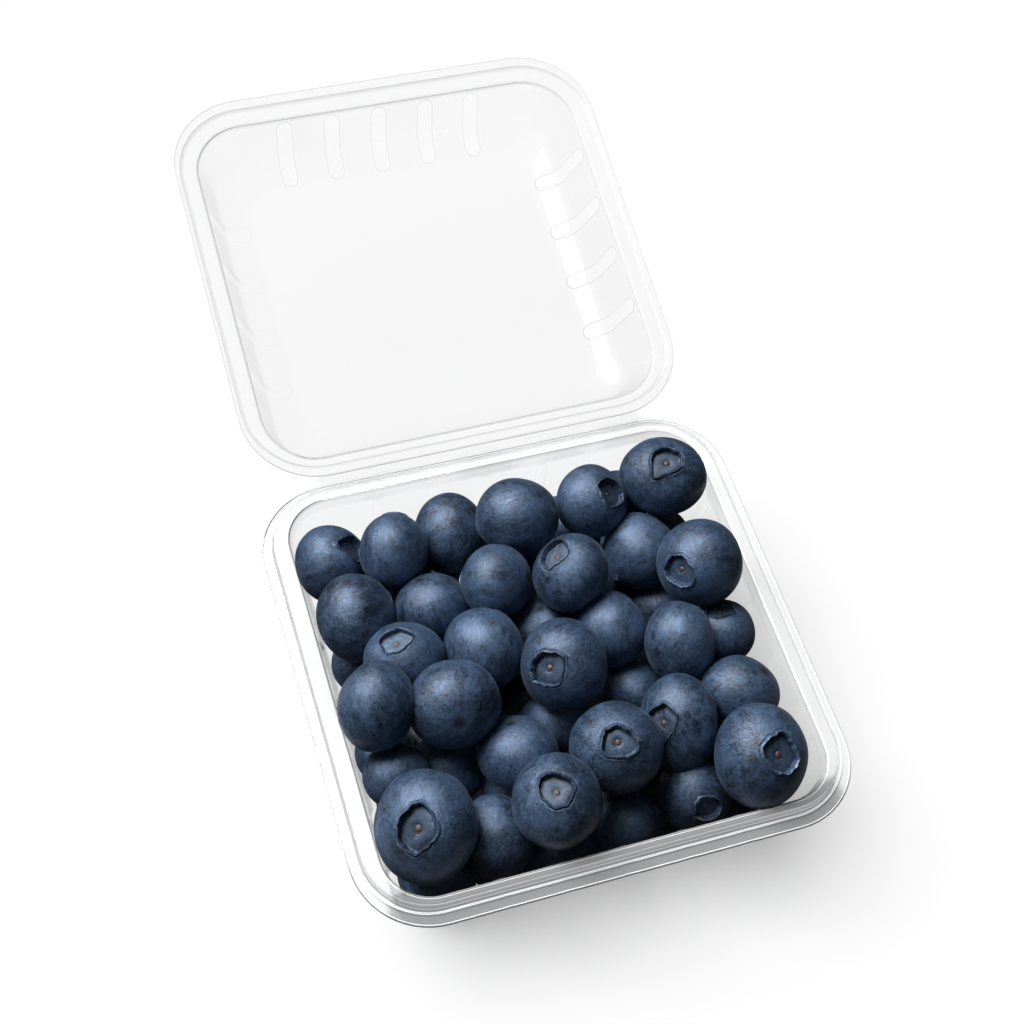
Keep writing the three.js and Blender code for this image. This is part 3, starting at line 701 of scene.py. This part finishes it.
def scatter_tree():
    """Puts one kind of berry on points, each turned, sized and dented in its own way."""
    n, g = new_tree("scattered_berries", [
        ("Berry", "Object"), ("Lump size", "Float"), ("Lump depth", "Float"), ("Seed", "Int"),
        ("Skin", "Material")])
    kind = n.add("GeometryNodeObjectInfo", inputs={"As Instance": True, "Object": g["Berry"]})
    turn = n.add("FunctionNodeEulerToRotation", inputs={0: n.attribute("turn", "FLOAT_VECTOR")})
    across = n.attribute("across")
    size = n.add("ShaderNodeCombineXYZ", inputs={0: across, 1: across, 2: across})
    placed = n.add("GeometryNodeInstanceOnPoints", inputs={
        "Points": g["Geometry"], "Instance": kind.outputs["Geometry"],
        "Rotation": turn.outputs[0], "Scale": size.outputs[0]})
    random = n.add("FunctionNodeRandomValue", {"data_type": "FLOAT"}, {"Seed": g["Seed"]})
    own = n.add("GeometryNodeStoreNamedAttribute", {"domain": "INSTANCE", "data_type": "FLOAT"}, {
        "Name": "own", "Geometry": placed.outputs[0], "Value": random.outputs[1]})
    at = n.add("GeometryNodeInputPosition").outputs[0]
    middle = n.add("GeometryNodeStoreNamedAttribute",
                   {"domain": "INSTANCE", "data_type": "FLOAT_VECTOR"},
                   {"Name": "middle", "Geometry": own.outputs[0], "Value": at})
    real = n.add("GeometryNodeRealizeInstances", inputs={0: middle.outputs[0]})
    # each berry is drawn out a little along its own stretch
    stretch = n.attribute("stretch", "FLOAT_VECTOR")
    from_middle = n.vector("SUBTRACT", {0: at, 1: n.attribute("middle", "FLOAT_VECTOR")})[0]
    along = n.vector("DOT_PRODUCT", {0: from_middle, 1: stretch})["Value"]
    amount = n.vector("LENGTH", {0: stretch})["Value"]
    share = n.sums("DIVIDE", along, n.sums("MAXIMUM", amount, 0.001))
    drawn = n.vector("SCALE", {0: stretch, "Scale": share})[0]
    stretched = n.add("GeometryNodeSetPosition", inputs={
        "Geometry": real.outputs[0], "Offset": drawn})
    lumps = n.add("ShaderNodeTexNoise", {"noise_dimensions": "4D"}, {
        "Detail": 1.0, "Scale": g["Lump size"], "W": n.times(n.attribute("own"), 40.0)})
    depth = n.times(n.sums("SUBTRACT", lumps.outputs["Fac"], 0.5), g["Lump depth"])
    normal = n.add("GeometryNodeInputNormal").outputs[0]
    dent = n.vector("SCALE", {0: normal, "Scale": depth})[0]
    dented = n.add("GeometryNodeSetPosition", inputs={
        "Geometry": stretched.outputs[0], "Offset": dent})
    coat = n.add("GeometryNodeSetMaterial", inputs={
        "Geometry": dented.outputs[0], "Material": g["Skin"]})
    n.add("NodeGroupOutput", inputs={0: coat.outputs[0]})
    return n.tree


def berry_skin():
    """Blue-black skin under a pale waxy bloom that is rubbed and streaked, with a dry crown."""
    material, n = new_material("berry_skin")
    sums, times, blend, attribute = n.sums, n.times, n.blend, n.attribute

    def spots(scale, detail, roughness, distortion, low, high):
        noise = n.add("ShaderNodeTexNoise", inputs={
            "Scale": scale, "Detail": detail, "Roughness": roughness, "Distortion": distortion,
            "Vector": where})
        return n.step(noise.outputs["Fac"], low, high, kind="LINEAR")

    own = attribute("own")
    shift = n.add("ShaderNodeCombineXYZ", inputs={k: times(own, 17.0 + 9 * k) for k in range(3)})
    place = n.vector("ADD", {0: attribute("skin_place", "FLOAT_VECTOR"), 1: shift.outputs[0]})[0]
    where = n.add("ShaderNodeMapping", inputs={
        "Scale": (1, 1, 0.5), "Vector": place}).outputs["Vector"]
    patches = spots(2.4, 3, 0.6, 0.5, 0.36, 0.62)
    blotches = spots(8, 4, 0.62, 1.2, 0.38, 0.6)
    specks = spots(46, 3, 0.85, 0.6, 0.42, 0.58)
    streaks = spots(26, 5, 0.75, 1.4, 0.43, 0.57)
    bloom = -0.14
    for marks, share in ((patches, 0.3), (blotches, 0.28), (specks, 0.24), (streaks, 0.32),
                         (sums("SUBTRACT", own, 0.5), 0.16)):
        bloom = sums("MULTIPLY_ADD", marks, share, bloom)
    skin = blend(bloom, (0.002, 0.005, 0.013, 1), (0.116, 0.201, 0.356, 1))
    dry = spots(60, 3, 0.6, 0.0, 0.4, 0.6)
    skin = blend(attribute("rim"), skin, blend(dry, (0.1, 0.105, 0.12, 1), (0.42, 0.43, 0.46, 1)))
    for label, share, colour in (("pit", 0.4, (0.045, 0.068, 0.105, 1)),
                                 ("shade", 0.85, (0.006, 0.008, 0.013, 1)),
                                 ("dot", 0.75, (0.16, 0.085, 0.045, 1))):
        skin = blend(times(attribute(label), share), skin, colour)
    relief = n.add("ShaderNodeBump", inputs={
        "Strength": 0.4, "Distance": 0.00004, "Height": sums("ADD", specks, streaks)})
    shader = n.add("ShaderNodeBsdfPrincipled", inputs={
        "Base Color": skin, "Roughness": n.step(bloom, 0.1, 0.9, 0.38, 0.48, kind="LINEAR"),
        "Specular IOR Level": 0.85, "Metallic": 0.35, "Sheen Weight": 0.1, "Sheen Roughness": 0.3,
        "Sheen Tint": (0.7, 0.82, 1, 1), "Normal": relief.outputs["Normal"]})
    n.add("ShaderNodeOutputMaterial", inputs={"Surface": shader.outputs["BSDF"]})
    return material


def scattered(name, kind, berries, seed, lump_depth):
    """One piece with every berry of one kind in it."""
    mesh = bpy.data.meshes.new(name)
    mesh.from_pydata([(b["x"] * mm, b["y"] * mm, b["z"] * mm) for b in berries], [], [])
    mark(mesh, "across", [2 * b["r"] * mm for b in berries])
    turns = []
    for b in berries:
        crown = Vector(b["crown"]).normalized()
        turn = crown.to_track_quat("Z", "Y") @ Matrix.Rotation(b["spin"], 3, "Z").to_quaternion()
        turns += list(turn.to_euler())
    mark(mesh, "turn", turns, "FLOAT_VECTOR")
    stretches = [(UPHILL if b["tall"] > 0 else BROADSIDE) * abs(b["tall"]) for b in berries]
    mark(mesh, "stretch", [c for stretch in stretches for c in stretch], "FLOAT_VECTOR")
    piece = bpy.data.objects.new(name, mesh)
    bpy.context.scene.collection.objects.link(piece)
    give_tree(piece, berries_tree, Berry=kind, Lump_size=70.0, Lump_depth=lump_depth, Seed=seed,
              Skin=skin_material)
    settle(piece, 60)
    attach(piece, "tray_body")
    return piece


# A berry with no crown given lies with its plain side to the front and top.
BROADSIDE = Vector((0.949, -0.299, 0.096))
UPHILL = Vector((0.207, 0.827, 0.522))
TOWARDS_FRONT = Vector((-0.236, -0.476, 0.847))

skin_material = berry_skin()
berries_tree = scatter_tree()
heap = settled_heap()
for k, berry in enumerate(heap):
    berry["spin"] = 2 * math.pi * wobble(k + 700)
    if berry["crown"] is None:
        lean, side = math.radians(18 + 14 * wobble(k + 500)), 2 * math.pi * wobble(k + 600)
        berry["crown"] = (math.cos(lean) * (math.cos(side) * BROADSIDE + math.sin(side) * UPHILL)
                          - math.sin(lean) * TOWARDS_FRONT)
kinds = [("five_sided", 5, 3, 0.192), ("six_sided", 6, 12, 0.197), ("uneven", 5, 27, 0.2),
         ("seven_sided", 7, 35, 0.192), ("wide", 6, 44, 0.212)]
shown = len(TOP_BERRIES)
for number, (shape, sides, seed, reach) in enumerate(kinds):
    one = berry_mesh("berry_" + shape, sides, seed, crown_reach=reach)
    own_kind = [b for k, b in enumerate(heap[:shown]) if k % len(kinds) == number]
    piece = scattered("berries_" + shape, one, own_kind, seed, 0.0016)
    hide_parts("berries")
below = berry_mesh("berry_below", 5, 51, columns=36, rows_below=14)
scattered("berries_below", below, heap[shown:], 51, 0.0011)

# ---- heart of the heap ---------------------------------------------------------------
# The dark middle of the heap, where no light reaches between the lowest berries. It is a
# lumpy mass that keeps the tray from showing through the gaps.
HEART_MIDDLE = (0, -0.5, 16)
HEART_REACH = (33, 32, 9.5)
COLUMNS, ROWS = 48, 20
core = bpy.data.meshes.new("heap_heart")
ball_points, ball_faces = [], []
for row in range(ROWS + 1):
    for column in range(COLUMNS):
        polar, angle = math.pi * row / ROWS, 2 * math.pi * column / COLUMNS
        c, s = math.cos(angle), math.sin(angle)
        square = (abs(c) ** 5 + abs(s) ** 5) ** (-1 / 5)
        flat = math.sin(polar) ** 0.35 if 0 < row < ROWS else 0.001
        lump = 1 + 0.05 * math.sin(5 * angle + row) * math.sin(polar * 4)
        out = square * flat * lump
        ball_points.append([(middle + reach * way) * mm for middle, reach, way in zip(
            HEART_MIDDLE, HEART_REACH, (c * out, s * out, math.cos(polar)))])
for row in range(ROWS):
    for column in range(COLUMNS):
        a, b = row * COLUMNS, (row + 1) * COLUMNS
        j = (column + 1) % COLUMNS
        ball_faces.append((a + column, b + column, b + j, a + j))
ball_faces.append(tuple(reversed(range(COLUMNS))))
ball_faces.append(tuple(range(ROWS * COLUMNS, (ROWS + 1) * COLUMNS)))
core.from_pydata(ball_points, [], ball_faces)
heart = bpy.data.objects.new("heap_heart", core)
bpy.context.scene.collection.objects.link(heart)
core.materials.append(skin_material)
core.polygons.foreach_set("use_smooth", [True] * len(core.polygons))
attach(heart, "tray_body")

# ---- lid -----------------------------------------------------------------------------
# The lid is moulded in the same sheet as the tray: a shallow dome with ribs in its walls,
# a step in its flange that snaps over the tray's bead, and a flat panel. It stands open,
# hollow side up, tilted 11 degrees about the hinge.
LID_WIDTH = 101.5
LID_REACH = 97.3
LID_DEPTH = 14.5
LID_TILT = 11
HINGE_Y = 51.05
HINGE_Z = 38.6
LID_STEP = (1.1, 2.2, 2.4)
LID_EDGE = (4.8, 4.5, 6.3)
lid_outline = {"half_width": LID_WIDTH / 2, "near": 0.6, "far": LID_REACH, "corner": 17,
               "tightest": 8, "plain_near_wall": True}
# where given, a row ends with its bend's painted dark line at the front, painted dark line at the sides
# and painted highlight
lid_profile = bent_profile([
    further_in(LID_EDGE, 22, -LID_DEPTH),
    further_in(LID_EDGE, 10.4, -LID_DEPTH, 1.6),
    further_in(LID_EDGE, 4.6, 2.3 - LID_DEPTH, 2.2),
    further_in(LID_EDGE, 0.75, -1.9, 0.8),
    further_in(LID_EDGE, 0.2, -0.95, 0.12, 0.8, 0.8),
    further_in(LID_EDGE, -0.2, -0.65, 0.2, 0.0, 0.0, 0.8),
    further_in(LID_STEP, 0.5, -0.6, 0.1, 0.4, 0.1),
    further_in(LID_STEP, 0.2, -0.5, 0.14, 0.0, 0.0, 0.3),
    further_in(LID_STEP, 0.0, -0.05, 0.11, 0.45, 0.25),
    further_in(LID_STEP, -0.3, 0, 0.14, 0.0, 0.0, 0.3),
    (0.3, 0.3, 0.3, 0.03, 0.1, 0.0, 0.0, 0.5),
    (0.1, 0.1, 0.1, 0.01, 0.09, 0.5, 0.3, 0.0),
    (0.0, 0.0, 0.0, 0.0, 0, 0.4, 0.25, 0.0),
])
lid_place = (Matrix.Translation((0, HINGE_Y * mm, HINGE_Z * mm))
             @ Matrix.Rotation(math.radians(LID_TILT), 4, "X"))
lid = sheet_mesh("lid_sheet", lid_outline, lid_profile, lid_place)
# outline and face give each rib a painted dark outline and a painted highlight
lid_ribs = {"side_pitch": 13.8, "end_pitch": 11.5, "side_ribs": 4.0, "end_ribs": 5.0,
            "slot": 3.8, "foot": run_at(lid_profile, -14.46), "head": run_at(lid_profile, -1.9),
            "outline": 0.13, "face": 1.0}
lid_plastic = clear_pet("lid_clear_pet", (0.984, 0.984, 0.984, 1), painted_highlight_strength=0.1, ribs=lid_ribs,
                        rim_from=-0.7)
press_ribs(lid, lid_ribs, lid_plastic, width=3.8, depth=0.5, foot_height=-13.4, head_height=-1.6,
           run_out=1.6)
thicken(lid, SHEET_THICKNESS)
settle(lid)
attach(lid, "lid_body")
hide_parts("lid")

# ---- living hinge --------------------------------------------------------------------
# Tray and lid are one sheet. Along the hinge line it is pressed thin, in a shallow crease
# where the real sheet folds when the lid closes; this strip keeps its open shape.
HINGE_WIDTH = 74
HINGE_THICKNESS = 0.2 * mm
ACROSS = 60
strip_line = [(49.3, 38.36), (49.9, 38.42), (50.4, 38.5), (50.75, 38.62), (50.92, 38.74),
              (51.05, 38.78), (51.18, 38.77), (51.35, 38.72), (51.7, 38.76), (52.1, 38.84)]
strip_points, strip_faces = [], []
for y, z in strip_line:
    for k in range(ACROSS + 1):
        strip_points.append(((k / ACROSS - 0.5) * HINGE_WIDTH * mm, y * mm, z * mm))
for row in range(len(strip_line) - 1):
    for k in range(ACROSS):
        a, b = row * (ACROSS + 1) + k, (row + 1) * (ACROSS + 1) + k
        strip_faces.append((a, a + 1, b + 1, b))
strip_mesh = bpy.data.meshes.new("hinge_strip")
strip_mesh.from_pydata(strip_points, [], strip_faces)
strip_mesh.materials.append(clear_pet("hinge_clear_pet", (0.985, 0.985, 0.985, 1), painted_highlight_strength=0.1))
strip = bpy.data.objects.new("hinge_strip", strip_mesh)
bpy.context.scene.collection.objects.link(strip)
thicken(strip, HINGE_THICKNESS)
settle(strip, 50)
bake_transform(strip)

# ---- studio --------------------------------------------------------------------------
# A white floor and a pale backdrop. A wide soft lamp high at the back left lights the
# punnet, one overhead casts its soft shadow on the floor, and a low strip in front puts
# the glare on the tray's rim.
floor_mesh = bpy.data.meshes.new("floor")
floor_mesh.from_pydata([(-6, -6, 0), (6, -6, 0), (6, 6, 0), (-6, 6, 0)], [], [(0, 1, 2, 3)])
floor = bpy.data.objects.new("floor", floor_mesh)
bpy.context.scene.collection.objects.link(floor)
floor_paint, n = new_material("floor_paint")
# seen straight on it is white card; what it throws back at the berries is less
straight = n.add("ShaderNodeLightPath").outputs["Is Camera Ray"]
card = n.add("ShaderNodeBsdfPrincipled", inputs={
    "Base Color": n.blend(straight, (0.03, 0.03, 0.03, 1), (0.6, 0.6, 0.6, 1)),
    "Emission Strength": n.times(straight, 0.36), "Emission Color": (1, 1, 1, 1),
    "Roughness": 0.9, "Specular IOR Level": 0.0})
n.add("ShaderNodeOutputMaterial", inputs={"Surface": card.outputs["BSDF"]})
floor_mesh.materials.append(floor_paint)


def soft_sun(name, energy, spread, towards, lights):
    """A far lamp of some width that lights only the pieces given."""
    lamp = bpy.data.lights.new(name, "SUN")
    lamp.energy = energy
    lamp.angle = math.radians(spread)
    stand = bpy.data.objects.new(name, lamp)
    stand.rotation_euler = Vector(towards).to_track_quat("Z", "Y").to_euler()
    bpy.context.scene.collection.objects.link(stand)
    lit = bpy.data.collections.new("lit_by_" + name)
    for piece in lights:
        lit.objects.link(piece)
    stand.light_linking.receiver_collection = lit


TO_WINDOW = (-0.38, 0.46, 0.8)
punnet = [piece for piece in bpy.context.scene.objects if piece.type == "MESH" and piece != floor]
soft_sun("window_light", energy=4.1, spread=36, towards=TO_WINDOW, lights=punnet)
soft_sun("overhead_light", energy=3.3, spread=46, towards=(-0.4, 0.16, 0.92), lights=[floor])
soft_sun("rim_light", energy=2.0, spread=14, towards=(0.1, -0.8, 0.55), lights=[tray])

# the room is bright on the side of the window, and seen straight on it is as pale as the floor
world = bpy.data.worlds.new("room")
bpy.context.scene.world = world
world.use_nodes = True
world.node_tree.nodes.clear()
n = Nodes(world.node_tree)
where = n.add("ShaderNodeTexCoord").outputs["Generated"]
sky_ramp = n.add("ShaderNodeValToRGB", inputs={
    "Fac": n.vector("DOT_PRODUCT", {0: where, 1: TO_WINDOW})["Value"]})
shades = sky_ramp.color_ramp.elements
shades[0].color = (0, 0, 0, 1)
shades[1].color = (1.3, 1.3, 1.3, 1)
shades.new(0.6).color = (0.06, 0.06, 0.063, 1)
sky = n.add("ShaderNodeBackground", inputs={"Strength": 0.4, "Color": sky_ramp.outputs["Color"]})
backdrop = n.add("ShaderNodeBackground", inputs={"Color": (1, 1, 1, 1)})
straight = n.add("ShaderNodeLightPath").outputs["Is Camera Ray"]
either = n.add("ShaderNodeMixShader", inputs={
    "Fac": straight, 1: sky.outputs["Background"], 2: backdrop.outputs["Background"]})
n.add("ShaderNodeOutputWorld", inputs={"Surface": either.outputs["Shader"]})

camera_data = bpy.data.cameras.new("camera")
camera_data.lens = 62.69
camera_data.sensor_width = 36
camera = bpy.data.objects.new("camera", camera_data)
camera.matrix_world = Matrix((
    (0.94947, 0.20742, -0.23553, -0.08988),
    (-0.29877, 0.82715, -0.47598, -0.15141),
    (0.0961, 0.5223, 0.84733, 0.36704),
    (0, 0, 0, 1)))
bpy.context.scene.collection.objects.link(camera)
bpy.context.scene.camera = camera
bpy.context.scene.view_settings.view_transform = "Standard"
